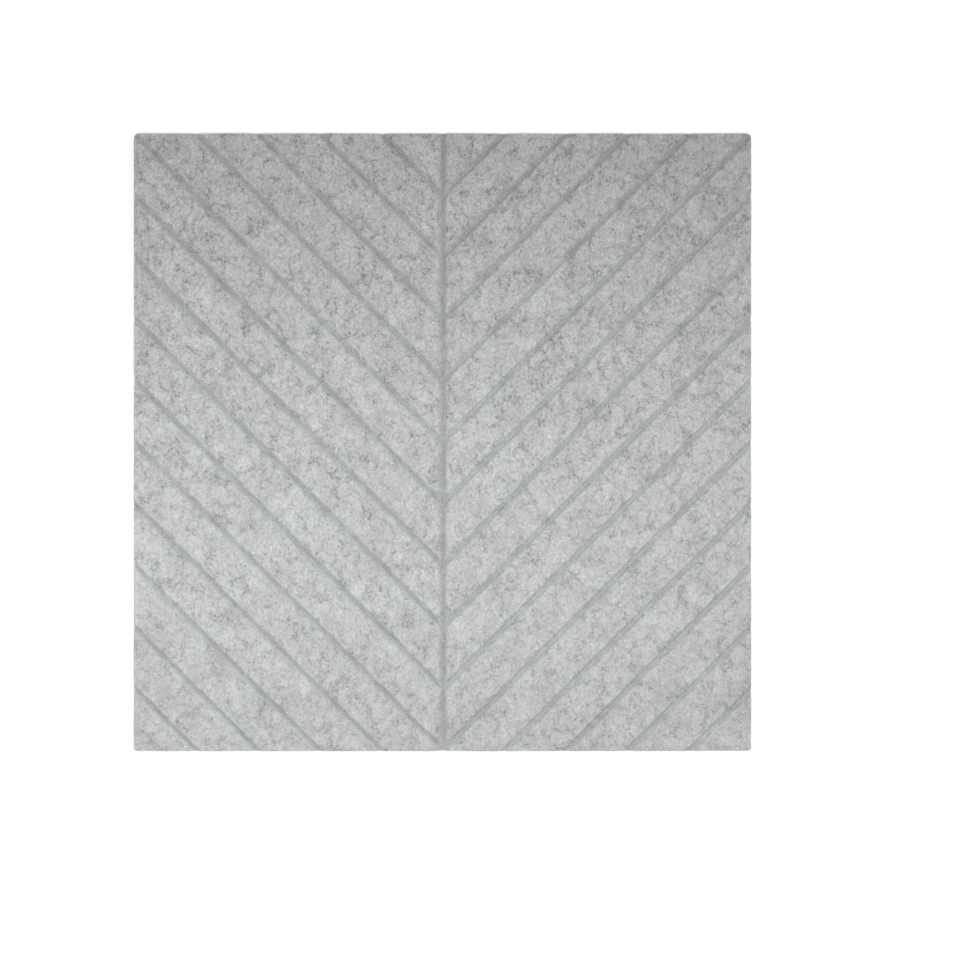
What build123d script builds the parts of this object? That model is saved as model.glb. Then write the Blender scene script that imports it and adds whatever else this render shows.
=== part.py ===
from build123d import *
import math
import os

# A felt acoustic wall panel: one board with V grooves milled into its front face.
# The grooves draw nested chevrons, points down, on both sides of a straight centre groove.
# The board lies on its back: X is its width, Y its height when hung, and Z its thickness.
# The origin is the middle of the back face.

# Driving dimensions, in millimetres and degrees
PANEL_WIDTH = 600.0
PANEL_HEIGHT = 600.0
PANEL_THICKNESS = 9.0
CORNER_RADIUS = 3.0  # the board's four corners, seen from the front
RIM_RADIUS = 0.6  # the soft edge around the front face
CENTRE_GROOVE_WIDTH = 8.0  # across the mouth, at the front face
CHEVRON_GROOVE_WIDTH = 7.0  # the same, for the chevrons' arms
GROOVE_ANGLE = 90.0  # between the two walls of every groove
CHEVRON_PITCH = 60.0  # from one chevron's point to the next, along Y
CHEVRON_ANGLE = 45.0  # between a chevron's arms and the X axis


def blank_board():
    """The board as it is cut from the sheet, before its grooves are milled."""
    outline = RectangleRounded(PANEL_WIDTH, PANEL_HEIGHT, CORNER_RADIUS)
    board = extrude(outline, PANEL_THICKNESS)
    front_face = board.faces().sort_by(Axis.Z)[-1]
    return fillet(front_face.edges(), RIM_RADIUS)


def groove_along(path, width):
    """What a V-shaped cutter takes away along a path on the front face, mitred at each bend.

    The section goes on past the front face, by its own depth, so that the cut leaves no skin.
    """
    depth = width / 2 / math.tan(math.radians(GROOVE_ANGLE / 2))
    section = Polygon((0, -depth), (width, depth), (-width, depth), align=None)
    start = Plane(origin=path @ 0, x_dir=Vector(0, 0, 1).cross(path % 0), z_dir=path % 0)
    return sweep(start * section, path=path, transition=Transition.RIGHT)


def centre_groove():
    """The straight groove from the bottom edge to the top edge, run out past both."""
    run_out = PANEL_HEIGHT / 2 + CENTRE_GROOVE_WIDTH
    path = Line((0, -run_out, PANEL_THICKNESS), (0, run_out, PANEL_THICKNESS))
    return groove_along(path, CENTRE_GROOVE_WIDTH)


def chevron_groove(point_y):
    """One chevron, with its point on the centre line and its arms run out past the side edges."""
    run_out = PANEL_WIDTH / 2 + CHEVRON_GROOVE_WIDTH
    arm_end_y = point_y + run_out * math.tan(math.radians(CHEVRON_ANGLE))
    left_end = (-run_out, arm_end_y, PANEL_THICKNESS)
    point = (0, point_y, PANEL_THICKNESS)
    right_end = (run_out, arm_end_y, PANEL_THICKNESS)
    return groove_along(Polyline(left_end, point, right_end), CHEVRON_GROOVE_WIDTH)


def chevron_points():
    """The heights of the chevrons' points, counted up and down from the middle of the bottom edge.

    A chevron that would only nick the top edge or a bottom corner is left out.
    """
    bottom = -PANEL_HEIGHT / 2
    arm_rise = PANEL_WIDTH / 2 * math.tan(math.radians(CHEVRON_ANGLE))
    above = math.ceil(PANEL_HEIGHT / CHEVRON_PITCH)
    below = math.ceil(arm_rise / CHEVRON_PITCH)
    return [bottom + step * CHEVRON_PITCH for step in range(1 - below, above)]


felt_panel = blank_board() - centre_groove()
for point_y in chevron_points():
    felt_panel -= chevron_groove(point_y)

os.makedirs("parts", exist_ok=True)
export_step(felt_panel, "parts/felt_panel.step")
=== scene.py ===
"""Dresses a felt acoustic panel with chevron grooves, and sets a plain studio stage around it."""

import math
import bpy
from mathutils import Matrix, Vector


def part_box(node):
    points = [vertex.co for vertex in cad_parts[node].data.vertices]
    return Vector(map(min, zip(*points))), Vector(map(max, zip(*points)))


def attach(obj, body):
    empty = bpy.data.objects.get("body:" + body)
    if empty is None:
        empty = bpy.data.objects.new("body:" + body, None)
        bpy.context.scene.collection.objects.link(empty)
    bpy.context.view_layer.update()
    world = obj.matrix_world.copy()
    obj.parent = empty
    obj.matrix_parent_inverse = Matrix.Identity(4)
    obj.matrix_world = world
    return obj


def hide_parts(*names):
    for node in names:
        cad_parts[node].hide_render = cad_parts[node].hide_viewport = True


bl_info = {
    "name": "Chevron Felt Panel",
    "version": (1, 0, 0),
    "blender": (4, 5, 0),
    "location": "3D View > Sidebar > Felt Panel",
    "description": "Makes the grooved, marled felt board and the stage that it is shown on",
    "category": "Object",
}

import bmesh
import bpy
import numpy as np
from mathutils import Vector, geometry, noise

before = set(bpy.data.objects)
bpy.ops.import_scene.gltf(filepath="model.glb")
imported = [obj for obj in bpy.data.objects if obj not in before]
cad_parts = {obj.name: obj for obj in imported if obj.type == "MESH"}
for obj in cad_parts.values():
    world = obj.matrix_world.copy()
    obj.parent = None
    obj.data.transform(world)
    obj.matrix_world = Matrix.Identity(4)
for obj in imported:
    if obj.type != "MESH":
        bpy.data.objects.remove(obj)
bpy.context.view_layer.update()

# The board as the frame gives it, in metres: it lies on its back, centred on the origin
BOARD_NODE = "felt_panel"
BODY = "root"
BOARD_LOW, BOARD_HIGH = (np.array(corner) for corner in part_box(BOARD_NODE))
HALF_WIDTH, HALF_HEIGHT = (BOARD_HIGH - BOARD_LOW)[:2] / 2
THICKNESS = BOARD_HIGH[2] - BOARD_LOW[2]

# The mesh, in metres
LAND_SPACING = 0.0028  # between mesh lines on the flat land
LEAST_SPACING = 0.0003  # mesh lines nearer than this become one
BACK_SPACING = 0.012  # between points inside the flat back
WALL_SHARES = (0.25, 0.5, 0.75, 1.0)  # rings down the board's edge, as shares of its height
RIM_ANGLES = (30, 60, 90)  # rings around the front rim, in degrees
FOOT_ANGLES = (45, 90)  # the same, around the edge of the back
# Mesh lines across half a groove, as shares of its half width: root, wall, lip and just past it
GROOVE_STATIONS = np.array((0.0, 0.04, 0.35, 0.7, 0.88, 0.96, 1.04, 1.12))
EXIT_STATIONS = np.array((0.0, 0.5, 0.96, 1.12))  # the same, where a groove runs out at an edge

# The marl, with the span from one feature to the next in about millimetres
MARL_SCALE = (1020, 850, 1600)  # from metres: features are longer up the board and thinner through it
LONG_VEIN_SPAN, SHORT_VEIN_SPAN = 11.0, 6.0  # lines along which dark fibres gather
STRAND_SPAN = 2.8  # the lengths that strands along the veins break into
CLUMP_SPAN = 13.0  # loose clumps of dark fibre
SMALL_FLECK_SPAN, LARGE_FLECK_SPAN, PALE_FLECK_SPAN = 2.2, 3.5, 2.6
GRAIN_SPAN = 1.9
PATCH_SPAN = 24.0  # broad patches, a little lighter or darker
DARK_SHARE = 0.705  # of dark fibre in the strongest wisps and flecks
HAZE_SHARE = 0.11  # of dark fibre between them, where they crowd
PAINTED_ROOT_SHADE = 0.84  # painted shade: how light a groove's root is painted, to the land's 1
BUMP_HEIGHT = 0.0006  # in metres

# Places in the bake's UV map, as shares of its side
FRONT_SHARE, BACK_SHARE, STRIP_HEIGHT, UV_MARGIN = 0.76, 0.215, 0.014, 0.006

# The stage, in metres and radians
FLOOR_REACH = 5.0  # from the floor's middle to each of its sides
FLOOR_GAP = 0.0001  # below the board, so that the two don't share a plane
SOFTBOX_SIDES = (2.2, 0.36)
SOFTBOX_PLACE = (-0.35, -0.13, 1.5)
SOFTBOX_SPREAD = math.radians(68)
WINDOW_ANGLE = math.radians(20)  # how wide the window looks from the board
WINDOW_WAY = (-1.17, -1.24, -1.0)  # the way its light goes
CAMERA_CLIP = 50.0  # how far the camera sees
FLOOR_GLOW = (0.27, 0.62)  # to the camera, below the softbox and around the board
GLOW_REACH = (0.1, 0.8)  # how far from the softbox each of the two begins to hold
FAR_GLOW = 0.16  # added further off, where hardly any of the softbox's light falls
FAR_REACH = (0.6, 1.1)  # how far from the softbox that begins and is all there


def length(name, description, default):
    """A length in metres that a user can change."""
    return bpy.props.FloatProperty(
        name=name, description=description, default=default, min=0.0, precision=5, unit="LENGTH"
    )


def angle(name, description, degrees):
    """An angle, stored in radians, that a user can change."""
    return bpy.props.FloatProperty(
        name=name, description=description, default=math.radians(degrees), min=0.0, unit="ROTATION"
    )


def colour(name, description, default):
    """A colour, in linear values, that a user can change."""
    return bpy.props.FloatVectorProperty(
        name=name, description=description, default=default, min=0.0, max=1.0, size=3, subtype="COLOR"
    )


def amount(name, description, default):
    """A plain number that a user can change."""
    return bpy.props.FloatProperty(name=name, description=description, default=default, min=0.0)


def power(name, description, default):
    """A lamp's power in watts that a user can change."""
    return bpy.props.FloatProperty(
        name=name, description=description, default=default, min=0.0, unit="POWER"
    )


class FeltBoardSizes(bpy.types.PropertyGroup):
    """Sizes of the board's grooves and edges."""

    centre_groove_width: length("Centre Groove Width", "Across its mouth, at the front face", 0.008)
    chevron_groove_width: length("Chevron Groove Width", "Across its mouth, at the front face", 0.007)
    groove_angle: angle("Groove Angle", "Between the two walls of a groove", 90)
    chevron_pitch: length("Chevron Pitch", "From one chevron's point to the next", 0.06)
    chevron_angle: angle("Chevron Angle", "Between a chevron's arms and the board's width", 45)
    corner_radius: length("Corner Radius", "Of the board's corners, seen from the front", 0.003)
    rim_radius: length("Rim Radius", "Of the soft edge around the front face", 0.0006)
    foot_radius: length("Foot Radius", "Of the edge around the back face", 0.0003)
    lip_softness: length("Lip Softness", "How far the rounding of a groove's lip reaches", 0.0003)
    ragged_reach: length("Ragged Reach", "How far a groove's cut edge wanders", 0.0004)
    ragged_span: length("Ragged Span", "From one wander of a cut edge to the next", 0.006)
    lump_height: length("Lump Height", "How far broad lumps of felt rise and sink", 0.00025)
    lump_span: length("Lump Span", "From one broad lump to the next", 0.022)
    tuft_height: length("Tuft Height", "How far small tufts of felt rise and sink", 0.00012)
    tuft_span: length("Tuft Span", "From one tuft to the next", 0.0075)


class FeltColours(bpy.types.PropertyGroup):
    """Colours of the fibres that the felt is blended from."""

    ground: colour("Ground", "The felt's light grey ground", (0.590, 0.607, 0.600))
    dark_fibre: colour("Dark Fibre", "Clumps of dark fibre", (0.200, 0.207, 0.204))
    pale_fibre: colour("Pale Fibre", "Flecks and ground with little dark fibre", (0.740, 0.761, 0.752))


class StudioSettings(bpy.types.PropertyGroup):
    """The floor, the light and the camera."""

    floor_colour: colour("Floor", "The pale floor and backdrop", (0.9, 0.9, 0.9))
    ambient: amount("Ambient", "Strength of the even light from all round", 0.174)
    softbox_power: power("Softbox", "Of the long gridded softbox over the board's lower half", 4.94)
    window_strength: amount("Window", "Strength of the soft light from past the top right corner", 0.47)
    frame_width: length("Frame Width", "What the picture spans at the board's front face", 0.933)
    look_across: length("Look Across", "How far right of the board's middle the camera looks", 0.0364)
    look_down: length("Look Down", "How far below the board's middle the camera looks", 0.0367)
    lens: bpy.props.FloatProperty(name="Lens", description="Focal length", default=100.0, unit="CAMERA")


def whole_steps(span, step):
    """How many steps it takes to pass a span, or to reach its end."""
    return math.ceil(round(span / step, 4))


def chevron_roots(sizes, spare=0):
    """Heights of the chevrons' points on the centre line, with spare ones past the first and the last."""
    arm_rise = HALF_WIDTH * math.tan(sizes.chevron_angle)
    below = whole_steps(arm_rise, sizes.chevron_pitch)
    above = whole_steps(2 * HALF_HEIGHT, sizes.chevron_pitch)
    return -HALF_HEIGHT + sizes.chevron_pitch * np.arange(1 - below - spare, above + spare)


def groove_depth(x, y, sizes):
    """How deep a groove is cut at each place, in metres and as a share of that groove's own depth."""
    level = y - np.abs(x) * math.tan(sizes.chevron_angle)
    from_points = np.abs(level[:, None] - chevron_roots(sizes)).min(axis=1)
    inside_chevron = sizes.chevron_groove_width / 2 - from_points * math.cos(sizes.chevron_angle)
    inside_centre = sizes.centre_groove_width / 2 - np.abs(x)
    places = [Vector((*place, 0)) / sizes.ragged_span for place in zip(x, y)]
    raggedness = sizes.ragged_reach * np.array([noise.noise(place) for place in places])
    in_centre = inside_centre > inside_chevron
    half_width = np.where(in_centre, sizes.centre_groove_width, sizes.chevron_groove_width) / 2
    inside = np.maximum(inside_chevron, inside_centre) + raggedness
    reach = sizes.lip_softness
    soft = np.where(np.abs(inside) < reach, (inside + reach) ** 2 / (4 * reach), np.maximum(inside, 0))
    return soft / math.tan(sizes.groove_angle / 2), soft / half_width


def thinned(values):
    """The values in order, less any that lies too near the one before."""
    kept = []
    for value in np.sort(values):
        if not kept or value - kept[-1] > LEAST_SPACING:
            kept.append(value)
    return np.array(kept)


def mesh_lines(roots, stations):
    """Places of mesh lines: stations on both sides of each root, and even steps on the land between."""
    near = [roots + side * station for side in (-1, 1) for station in stations]
    steps = whole_steps(roots[1] - roots[0] - 2 * stations[-1], LAND_SPACING)
    land = [np.linspace(a + stations[-1], b - stations[-1], steps + 1) for a, b in zip(roots, roots[1:])]
    return thinned(np.concatenate(near + land))


def strip_faces(left, right):
    """Faces between two columns of points: quads between shared levels, and one face at each end."""
    shared = [level for level in left if level in right]
    for low, high in zip(shared, shared[1:]):
        yield left[low], right[low], right[high], left[high]
    foot = [right[level] for level in right if level < shared[0]] + [right[shared[0]], left[shared[0]]]
    yield foot + [left[level] for level in reversed(left) if level < shared[0]]
    head = [left[shared[-1]], right[shared[-1]]] + [right[level] for level in right if level > shared[-1]]
    yield head + [left[level] for level in reversed(left) if level > shared[-1]]


def front_plan(sizes):
    """The front face seen from above: its points, its faces and its outline, in order.

    The points stand in columns across the board, and lie on lines that run along the chevrons' arms.
    """
    rise = math.tan(sizes.chevron_angle)
    half_centre = sizes.centre_groove_width / 2
    roots = chevron_roots(sizes, spare=1)
    upright_half = sizes.chevron_groove_width / 2 / math.cos(sizes.chevron_angle)
    levels = mesh_lines(roots, GROOVE_STATIONS * upright_half)
    exits = np.concatenate([(edge - roots) / rise for edge in (-HALF_HEIGHT, HALF_HEIGHT)])
    exits = thinned(exits[(exits > -LEAST_SPACING) & (exits < HALF_WIDTH + LEAST_SPACING)])
    across = mesh_lines(exits, EXIT_STATIONS * upright_half / rise)
    across = across[(across > GROOVE_STATIONS[-1] * half_centre) & (across < HALF_WIDTH - LEAST_SPACING)]
    across = np.concatenate([GROOVE_STATIONS * half_centre, across, [HALF_WIDTH]])
    points, faces, columns = [], [], []
    for x in np.concatenate([-across[:0:-1], across]):
        foot, head = (edge - abs(x) * rise for edge in (-HALF_HEIGHT, HALF_HEIGHT))
        inner = levels[(levels > foot + LEAST_SPACING) & (levels < head - LEAST_SPACING)]
        column = [foot, *inner, head]
        columns.append({level: len(points) + i for i, level in enumerate(column)})
        points.extend((x, level + abs(x) * rise) for level in column)
    for left, right in zip(columns, columns[1:]):
        faces.extend(strip_faces(left, right))
    ends = [list(column.values()) for column in columns]
    outline = [end[0] for end in ends] + ends[-1][1:-1]
    outline += [end[-1] for end in reversed(ends)] + ends[0][-2:0:-1]
    return np.array(points), faces, outline


def rounded_plan(points, sizes):
    """Draws the outer few millimetres in, so that the outline has round corners and room for the rim."""
    core = np.array([HALF_WIDTH, HALF_HEIGHT]) - sizes.corner_radius
    inner = np.clip(points, -core, core)
    out = points - inner
    reach = np.abs(out).max(axis=1)
    way = out / np.maximum(np.hypot(*out.T), 1e-12)[:, None]
    shrink = (sizes.corner_radius - sizes.rim_radius) / sizes.corner_radius
    return inner + way * (reach * shrink)[:, None], way


def edge_rings(outline, ways, heights, sizes):
    """Rings of points from the front face's outline round the rim, down the edge and under the foot."""
    rim, foot = sizes.rim_radius, sizes.foot_radius
    for turn in np.radians(RIM_ANGLES):
        yield outline + ways * rim * math.sin(turn), heights - rim * (1 - math.cos(turn))
    for share in WALL_SHARES:
        yield outline + ways * rim, (heights - rim) * (1 - share) + foot * share
    for turn in np.radians(FOOT_ANGLES):
        reach = rim - foot * (1 - math.cos(turn))
        height = foot * (1 - math.sin(turn))
        yield outline + ways * reach, np.full(len(heights), height)


def back_triangles(ring, first):
    """Even triangles across the flat back, and the points that they add inside its ring.

    The ring's points are numbered from first on, and the added ones follow them.
    """
    inner_half = np.abs(ring).max(axis=0) - BACK_SPACING / 2
    steps = np.ceil(2 * inner_half / BACK_SPACING).astype(int)
    axes = [np.linspace(-half, half, count + 1) for half, count in zip(inner_half, steps)]
    inside = np.stack(np.meshgrid(*axes), axis=-1).reshape(-1, 2)
    plan = [Vector(point) for point in np.concatenate([ring, inside])]
    sides = [(i, (i + 1) % len(ring)) for i in range(len(ring))]
    _, _, faces, sources, _, _ = geometry.delaunay_2d_cdt(plan, sides, [], 1, 1e-7)
    numbers = [first + source[0] for source in sources]
    return inside, [[numbers[corner] for corner in reversed(face)] for face in faces]


def felt_relief(place, sizes):
    """How far the felt stands out of its plain shape at a place."""
    lump = noise.noise(place / sizes.lump_span) * sizes.lump_height
    tuft = noise.noise(place / sizes.tuft_span) * sizes.tuft_height
    return lump + tuft


def board_mesh(sizes):
    """The closed mesh of the grooved board, with its milled walls marked and a map for the bake."""
    plan, front_faces, outline = front_plan(sizes)
    plan, ways = rounded_plan(plan, sizes)
    depth, share = groove_depth(*plan.T, sizes)
    places = [np.column_stack([plan, THICKNESS - depth])]
    count = len(outline)
    rings = [np.array(outline)]
    for ring, heights in edge_rings(plan[outline], ways[outline], THICKNESS - depth[outline], sizes):
        rings.append(len(np.concatenate(places)) + np.arange(count))
        places.append(np.column_stack([ring, heights]))
    edge_faces = []
    for upper, lower in zip(rings, rings[1:]):
        for here, there in zip(range(count), [*range(1, count), 0]):
            edge_faces.append((upper[here], lower[here], lower[there], upper[there]))
    inside, back_faces = back_triangles(places[-1][:, :2], rings[-1][0])
    places.append(np.column_stack([inside, np.zeros(len(inside))]))
    places = np.concatenate(places) + [0, 0, BOARD_LOW[2]]

    mesh = bpy.data.meshes.new("felt_board")
    mesh.from_pydata(places, [], [*front_faces, *edge_faces, *back_faces])
    milled = np.zeros(len(places))
    milled[: len(share)] = share
    mesh.attributes.new("milled", "FLOAT", "POINT").data.foreach_set("value", milled)
    lay_out_map(mesh, len(front_faces), len(edge_faces), rings)
    for vertex, normal in zip(mesh.vertices, [n.vector.copy() for n in mesh.vertex_normals]):
        if vertex.co.z > sizes.foot_radius:
            vertex.co += normal * felt_relief(vertex.co, sizes)
    split_many_sided(mesh)
    mesh.shade_smooth()
    mesh.validate()
    return mesh


def split_many_sided(mesh):
    """Cuts the few many-sided faces, along the front's top and bottom edges, into triangles."""
    editing = bmesh.new()
    editing.from_mesh(mesh)
    bmesh.ops.triangulate(editing, faces=[face for face in editing.faces if len(face.verts) > 4])
    editing.to_mesh(mesh)
    editing.free()


def lay_out_map(mesh, front_count, edge_count, rings):
    """Lays out the bake's map: the front, the back smaller beside it, the four edges as strips."""
    corners = np.zeros(len(mesh.loops), dtype=int)
    mesh.loops.foreach_get("vertex_index", corners)
    place = np.zeros(3 * len(mesh.vertices))
    mesh.vertices.foreach_get("co", place)
    across = place.reshape(-1, 3)[:, :2] / (2 * HALF_WIDTH, 2 * HALF_HEIGHT) + 0.5
    ring_number = np.zeros(len(mesh.vertices))
    for number, ring in enumerate(rings):
        ring_number[ring] = number / (len(rings) - 1)
    uv = np.zeros((len(corners), 2))
    for face in mesh.polygons:
        loops = slice(face.loop_start, face.loop_start + face.loop_total)
        at = across[corners[loops]]
        if face.index < front_count:
            uv[loops] = UV_MARGIN + at * FRONT_SHARE
        elif face.index < front_count + edge_count:
            along = 0 if abs(face.normal.y) > abs(face.normal.x) else 1
            side = 2 * along + (face.normal[1 - along] > 0)
            base = FRONT_SHARE + 2 * UV_MARGIN + side * (STRIP_HEIGHT + UV_MARGIN)
            uv[loops, 0] = UV_MARGIN + at[:, along] * FRONT_SHARE
            uv[loops, 1] = base + ring_number[corners[loops]] * STRIP_HEIGHT
        else:
            uv[loops] = (FRONT_SHARE + 3 * UV_MARGIN, UV_MARGIN) + at * BACK_SHARE
    mesh.uv_layers.new(name="OFBake").uv.foreach_set("vector", uv.ravel())


def add_node(tree, kind, settings=None, inputs=None):
    """Adds a shader node. In inputs, a socket is linked and any other value is set."""
    node = tree.nodes.new(kind)
    for name, value in (settings or {}).items():
        setattr(node, name, value)
    for name, value in (inputs or {}).items():
        if isinstance(value, bpy.types.NodeSocket):
            tree.links.new(value, node.inputs[name])
        else:
            node.inputs[name].default_value = value
    return node


def maths(tree, operation, first, second):
    """One step of arithmetic on two values or sockets."""
    return add_node(tree, "ShaderNodeMath", {"operation": operation}, {0: first, 1: second}).outputs[0]


def between(tree, value, low, high, at_low=0.0, at_high=1.0):
    """Maps a value smoothly from one range to another, and holds it there past the ends."""
    return add_node(
        tree,
        "ShaderNodeMapRange",
        {"interpolation_type": "SMOOTHSTEP"},
        {"Value": value, "From Min": low, "From Max": high, "To Min": at_low, "To Max": at_high},
    ).outputs["Result"]


def mottle(tree, place, span, detail=2.0, roughness=0.5):
    """A node of soft noise, from 0 to 1, with features about span millimetres across."""
    return add_node(
        tree,
        "ShaderNodeTexNoise",
        inputs={"Vector": place, "Scale": 1 / span, "Detail": detail, "Roughness": roughness},
    )


def shifted(tree, place, offset):
    """The same coordinates some way off, so that two layers of noise don't coincide."""
    return add_node(
        tree, "ShaderNodeVectorMath", {"operation": "ADD"}, {0: place, 1: offset}
    ).outputs["Vector"]


def drifted(tree, place, span, reach):
    """Coordinates that wander by up to about reach millimetres, so that what is drawn on them curls."""
    wander = mottle(tree, place, span, detail=2.0).outputs["Color"]
    centred = shifted(tree, wander, (-0.5, -0.5, -0.5))
    inputs = {0: centred, 1: (reach,) * 3, 2: place}
    return add_node(tree, "ShaderNodeVectorMath", {"operation": "MULTIPLY_ADD"}, inputs).outputs["Vector"]


def mixed(tree, share, first, second):
    """A blend of two colours, each of them a plain colour or a socket."""
    inputs = {"Factor": share, "A": first, "B": second}
    return add_node(tree, "ShaderNodeMix", {"data_type": "RGBA"}, inputs).outputs["Result"]


def off_vein(tree, place, span):
    """How far a place is from the lines, about span apart, along which dark fibres gather: 0 on a line."""
    ground = mottle(tree, place, span, detail=0.0).outputs["Fac"]
    return maths(tree, "ABSOLUTE", maths(tree, "SUBTRACT", ground, 0.5), 0.0)


def strands(tree, distance, place, width, span):
    """Thin dark strands along the veins, broken into ragged lengths of about span."""
    strand = between(tree, distance, 0.25 * width, width, 1.0, 0.0)
    lengths = mottle(tree, place, span, detail=3.0, roughness=0.7).outputs["Fac"]
    return maths(tree, "MULTIPLY", strand, between(tree, lengths, 0.47, 0.57))


def specks(tree, place, span, crowding):
    """Small flecks of uneven strength, one to a cell at most, more of them where they crowd."""
    inputs = {"Vector": drifted(tree, place, span, span), "Scale": 1 / span}
    cell = add_node(tree, "ShaderNodeTexVoronoi", {"feature": "F1"}, inputs)
    split = add_node(tree, "ShaderNodeSeparateColor", inputs={"Color": cell.outputs["Color"]})
    chance = maths(tree, "ADD", split.outputs["Red"], crowding)
    spot = between(tree, cell.outputs["Distance"], 0.15, 0.42, 1.0, 0.0)
    return maths(tree, "MULTIPLY", spot, between(tree, chance, 1.0, 1.5))


def up_the_board(tree, object_place, at_bottom, at_top):
    """A value that changes smoothly from the board's bottom edge to its top edge."""
    height = add_node(tree, "ShaderNodeSeparateXYZ", inputs={"Vector": object_place}).outputs["Y"]
    return between(tree, height, -HALF_HEIGHT, HALF_HEIGHT, at_bottom, at_top)


def dark_share(tree, place, long_veins, short_veins):
    """How much dark fibre shows at each place: wisps along the veins, and flecks, in loose clumps."""
    gathering = mottle(tree, shifted(tree, place, (7, 63, 8)), CLUMP_SPAN).outputs["Fac"]
    clumps = between(tree, gathering, 0.38, 0.68)
    crowding = maths(tree, "MULTIPLY", between(tree, long_veins, 0.02, 0.24, 1.0, 0.3), clumps)
    small_flecks = specks(tree, shifted(tree, place, (13, 41, 5)), SMALL_FLECK_SPAN, crowding)
    large_flecks = specks(tree, shifted(tree, place, (71, 3, 5)), LARGE_FLECK_SPAN, crowding)
    flecks = maths(tree, "MAXIMUM", small_flecks, maths(tree, "MULTIPLY", large_flecks, 0.9))
    long_strands = strands(tree, long_veins, place, 0.07, STRAND_SPAN)
    short_strands = strands(tree, short_veins, shifted(tree, place, (31, 7, 3)), 0.09, STRAND_SPAN)
    wisps = maths(tree, "MAXIMUM", long_strands, maths(tree, "MULTIPLY", short_strands, 0.8))
    wisps = maths(tree, "MULTIPLY", wisps, between(tree, clumps, 0.0, 1.0, 0.45, 0.7))
    dark = maths(tree, "MULTIPLY", maths(tree, "MAXIMUM", wisps, flecks), DARK_SHARE)
    return maths(tree, "ADD", dark, maths(tree, "MULTIPLY", crowding, HAZE_SHARE))


def pale_share(tree, place, long_veins):
    """How much pale fibre shows at each place: flecks, and the ground well away from the veins."""
    flecks = specks(tree, shifted(tree, place, (29, 53, 1)), PALE_FLECK_SPAN, 0.6)
    return maths(tree, "MAXIMUM", between(tree, long_veins, 0.1, 0.3, 0.0, 0.3), flecks)


def felt_bump(tree, place):
    """Soft tufts with loose fibres on them, finer than the mesh's own relief."""
    fibres = add_node(
        tree,
        "ShaderNodeTexNoise",
        {"noise_type": "RIDGED_MULTIFRACTAL", "normalize": True},
        {"Vector": drifted(tree, place, 2.0, 1.5), "Scale": 0.9, "Detail": 4.0, "Roughness": 0.6},
    ).outputs["Fac"]
    tufts = mottle(tree, drifted(tree, shifted(tree, place, (5, 17, 37)), 4.0, 3.0), 3.0).outputs["Fac"]
    relief = maths(tree, "ADD", tufts, maths(tree, "MULTIPLY", fibres, 0.25))
    inputs = {"Height": relief, "Strength": 1.0, "Distance": BUMP_HEIGHT}
    return add_node(tree, "ShaderNodeBump", inputs=inputs).outputs["Normal"]


def felt_material(colours):
    """Light grey felt: dark wisps and flecks in loose clumps on a pale, fibrous ground."""
    material = bpy.data.materials.new("marled_felt")
    material.use_nodes = True
    tree = material.node_tree
    tree.nodes.clear()
    object_place = add_node(tree, "ShaderNodeTexCoord").outputs["Object"]
    place = add_node(
        tree, "ShaderNodeVectorMath", {"operation": "MULTIPLY"}, {0: object_place, 1: MARL_SCALE}
    ).outputs["Vector"]
    milled = add_node(tree, "ShaderNodeAttribute", {"attribute_name": "milled"}).outputs["Fac"]
    curled = drifted(tree, drifted(tree, place, 7.0, 7.0), 1.6, 1.8)
    long_veins = off_vein(tree, curled, LONG_VEIN_SPAN)
    short_veins = off_vein(tree, shifted(tree, curled, (57, 91, 0)), SHORT_VEIN_SPAN)
    grain = mottle(tree, place, GRAIN_SPAN, detail=3.0, roughness=0.6).outputs["Fac"]
    patches = mottle(tree, shifted(tree, place, (83, 19, 2)), PATCH_SPAN, detail=1.0).outputs["Fac"]

    pale = pale_share(tree, place, long_veins)
    dark = dark_share(tree, place, long_veins, short_veins)
    # The cutter takes much of the dark fibre off a groove's walls
    dark = maths(tree, "MULTIPLY", dark, between(tree, milled, 0.0, 0.3, 1.0, 0.55))
    # Towards the top edge the dark fibre is stronger and the grain has more contrast, so the felt is
    # darker there
    dark = maths(tree, "MULTIPLY", dark, up_the_board(tree, object_place, 0.93, 1.2))
    grain_strength = up_the_board(tree, object_place, 0.9, 1.25)
    grain_shade = maths(tree, "POWER", between(tree, grain, 0.25, 0.75, 0.85, 1.16), grain_strength)
    shade = maths(tree, "MULTIPLY", grain_shade, between(tree, patches, 0.25, 0.75, 1.05, 0.95))
    # Painted shade: the felt's colour darkens towards a groove's root, on top of the shade that the lamps
    # give it there
    shade = maths(tree, "MULTIPLY", shade, between(tree, milled, 0.0, 1.0, 1.0, PAINTED_ROOT_SHADE))

    ground = mixed(tree, pale, (*colours.ground, 1), (*colours.pale_fibre, 1))
    marled = mixed(tree, dark, ground, (*colours.dark_fibre, 1))
    shaded = add_node(tree, "ShaderNodeVectorMath", {"operation": "SCALE"}, {0: marled, "Scale": shade})
    felt = add_node(
        tree,
        "ShaderNodeBsdfPrincipled",
        inputs={
            "Base Color": shaded.outputs["Vector"],
            "Roughness": between(tree, grain, 0.2, 0.8, 0.86, 0.98),
            "Specular IOR Level": 0.15,
            "Sheen Weight": 0.15,
            "Sheen Roughness": 0.5,
            "Normal": felt_bump(tree, place),
        },
    )
    output = add_node(tree, "ShaderNodeOutputMaterial")
    tree.links.new(felt.outputs["BSDF"], output.inputs["Surface"])
    return material


def seen_directly(tree):
    """1 to the camera and in gloss or glass, and 0 to the light that a surface gives to others."""
    path = add_node(tree, "ShaderNodeLightPath")
    seen = maths(tree, "MAXIMUM", path.outputs["Is Camera Ray"], path.outputs["Is Glossy Ray"])
    return maths(tree, "MAXIMUM", seen, path.outputs["Is Transmission Ray"])


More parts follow.
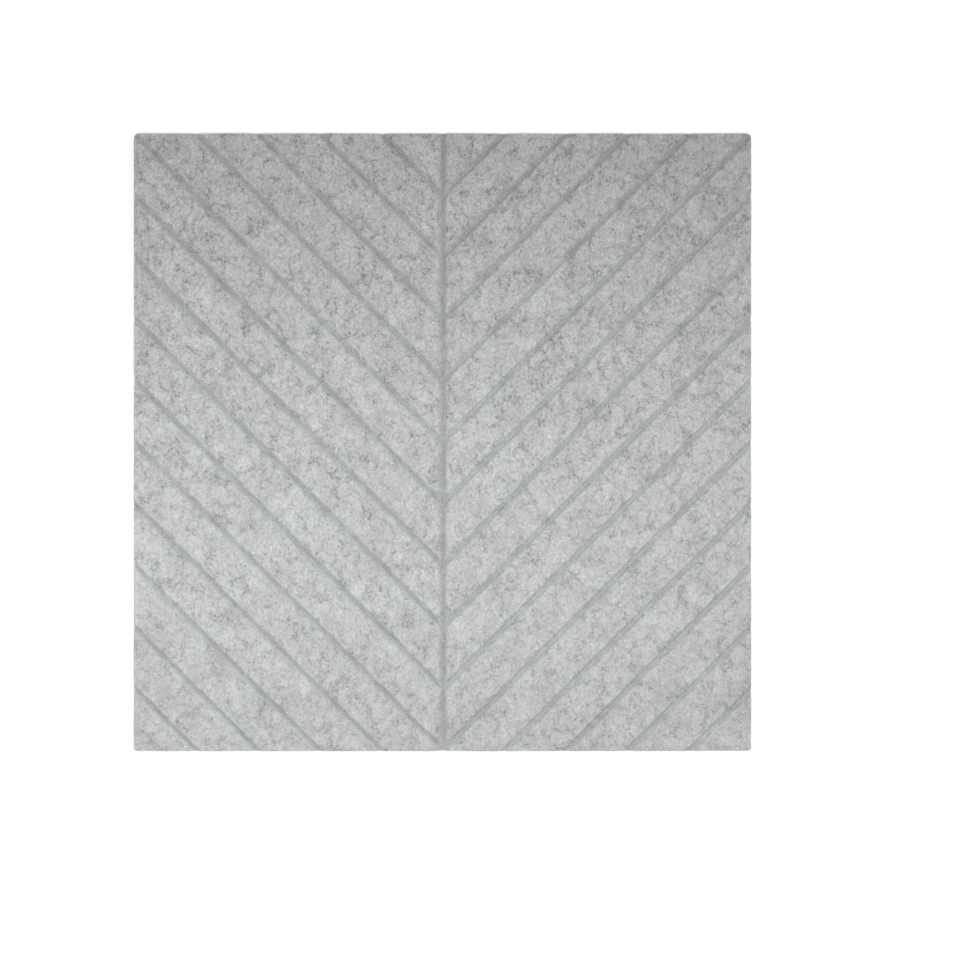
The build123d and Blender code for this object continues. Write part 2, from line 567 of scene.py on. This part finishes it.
def floor_material(colour_value):
    """A pale floor that reads as white to the camera and still takes the board's shadow.

    To the camera it glows, more so away from the softbox, where less light falls on it.
    """
    material = bpy.data.materials.new("pale_floor")
    material.use_nodes = True
    tree = material.node_tree
    tree.nodes.clear()
    floor_place = add_node(tree, "ShaderNodeTexCoord").outputs["Object"]
    from_softbox = shifted(tree, floor_place, (-SOFTBOX_PLACE[0], -SOFTBOX_PLACE[1], 0))
    # The softbox is long, so its light falls off more slowly across the picture than down it
    squeezed = add_node(
        tree, "ShaderNodeVectorMath", {"operation": "MULTIPLY"}, {0: from_softbox, 1: (0.5, 1, 1)}
    ).outputs["Vector"]
    away = add_node(tree, "ShaderNodeVectorMath", {"operation": "LENGTH"}, {0: squeezed}).outputs["Value"]
    near_glow = between(tree, away, *GLOW_REACH, *FLOOR_GLOW)
    glow_level = maths(tree, "ADD", near_glow, between(tree, away, *FAR_REACH, 0.0, FAR_GLOW))
    glow_level = maths(tree, "MULTIPLY", seen_directly(tree), glow_level)
    lit = add_node(tree, "ShaderNodeBsdfDiffuse", inputs={"Color": (*colour_value, 1)})
    glow = add_node(tree, "ShaderNodeEmission", inputs={"Strength": glow_level})
    both = add_node(tree, "ShaderNodeAddShader")
    tree.links.new(lit.outputs[0], both.inputs[0])
    tree.links.new(glow.outputs[0], both.inputs[1])
    output = add_node(tree, "ShaderNodeOutputMaterial")
    tree.links.new(both.outputs[0], output.inputs["Surface"])
    return material


def shown(name, data):
    """A new object in the scene."""
    made = bpy.data.objects.new(name, data)
    bpy.context.scene.collection.objects.link(made)
    return made


def light_world(strength):
    """Even light from all round, and a white backdrop to the camera."""
    world = bpy.data.worlds.new("studio_world")
    world.use_nodes = True
    tree = world.node_tree
    tree.nodes.clear()
    level = between(tree, seen_directly(tree), 0.0, 1.0, strength, 1.0)
    background = add_node(tree, "ShaderNodeBackground", inputs={"Color": (1, 1, 1, 1), "Strength": level})
    output = add_node(tree, "ShaderNodeOutputWorld")
    tree.links.new(background.outputs[0], output.inputs["Surface"])
    bpy.context.scene.world = world


def hang_softbox(power_value):
    """A long softbox that faces straight down, with a grid that keeps its light from spreading."""
    light = bpy.data.lights.new("softbox", "AREA")
    light.shape = "RECTANGLE"
    light.size, light.size_y = SOFTBOX_SIDES
    light.energy = power_value
    light.spread = SOFTBOX_SPREAD
    softbox = shown("softbox", light)
    softbox.location = SOFTBOX_PLACE
    softbox.visible_camera = False


def open_window(strength):
    """Soft light from far off, the same all over the board."""
    light = bpy.data.lights.new("window", "SUN")
    light.energy = strength
    light.angle = WINDOW_ANGLE
    window = shown("window", light)
    window.rotation_euler = Vector(WINDOW_WAY).to_track_quat("-Z", "Y").to_euler()


def place_camera(studio):
    """A long lens straight above the board, with the board's top edge at the top of the picture."""
    data = bpy.data.cameras.new("camera")
    data.lens = studio.lens
    data.clip_end = CAMERA_CLIP
    camera = shown("camera", data)
    distance = studio.frame_width * studio.lens / data.sensor_width
    camera.location = (studio.look_across, -studio.look_down, BOARD_HIGH[2] + distance)
    bpy.context.scene.camera = camera


class FELT_OT_make_board(bpy.types.Operator):
    """Make the grooved felt board and give it its marled finish"""

    bl_idname = "felt_panel.make_board"
    bl_label = "Make Board"

    def execute(self, context):
        scene = context.scene
        board = shown("felt_board", board_mesh(scene.felt_board_sizes))
        board.data.materials.append(felt_material(scene.felt_colours))
        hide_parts(BOARD_NODE)
        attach(board, BODY)
        return {"FINISHED"}


class FELT_OT_set_stage(bpy.types.Operator):
    """Set the pale floor, the soft light and the camera"""

    bl_idname = "felt_panel.set_stage"
    bl_label = "Set Stage"

    def execute(self, context):
        studio = context.scene.felt_studio
        mesh = bpy.data.meshes.new("floor")
        corners = [(x * FLOOR_REACH, y * FLOOR_REACH, 0) for x, y in ((-1, -1), (1, -1), (1, 1), (-1, 1))]
        mesh.from_pydata(corners, [], [(0, 1, 2, 3)])
        floor = shown("floor", mesh)
        floor.location.z = BOARD_LOW[2] - FLOOR_GAP
        mesh.materials.append(floor_material(studio.floor_colour))
        light_world(studio.ambient)
        hang_softbox(studio.softbox_power)
        open_window(studio.window_strength)
        place_camera(studio)
        context.scene.view_settings.view_transform = "Standard"
        return {"FINISHED"}


class FELT_PT_sidebar(bpy.types.Panel):
    """Lists what a user can change and the steps that use it"""

    bl_label = "Felt Panel"
    bl_space_type = "VIEW_3D"
    bl_region_type = "UI"
    bl_category = "Felt Panel"

    def draw(self, context):
        scene = context.scene
        for group in (scene.felt_board_sizes, scene.felt_colours, scene.felt_studio):
            box = self.layout.box()
            for name in group.__annotations__:
                box.prop(group, name)
        for operator in OPERATORS:
            self.layout.operator(operator.bl_idname)


GROUPS = {"felt_board_sizes": FeltBoardSizes, "felt_colours": FeltColours, "felt_studio": StudioSettings}
OPERATORS = (FELT_OT_make_board, FELT_OT_set_stage)
CLASSES = (*GROUPS.values(), *OPERATORS, FELT_PT_sidebar)


def register():
    """Adds the classes, and their settings to every scene."""
    for kind in CLASSES:
        bpy.utils.register_class(kind)
    for name, group in GROUPS.items():
        setattr(bpy.types.Scene, name, bpy.props.PointerProperty(type=group))


def unregister():
    """Takes them away again, in reverse."""
    for name in GROUPS:
        delattr(bpy.types.Scene, name)
    for kind in reversed(CLASSES):
        bpy.utils.unregister_class(kind)


def main():
    """Makes every piece."""
    register()
    bpy.ops.felt_panel.make_board()
    bpy.ops.felt_panel.set_stage()


if __name__ == "__main__":
    main()
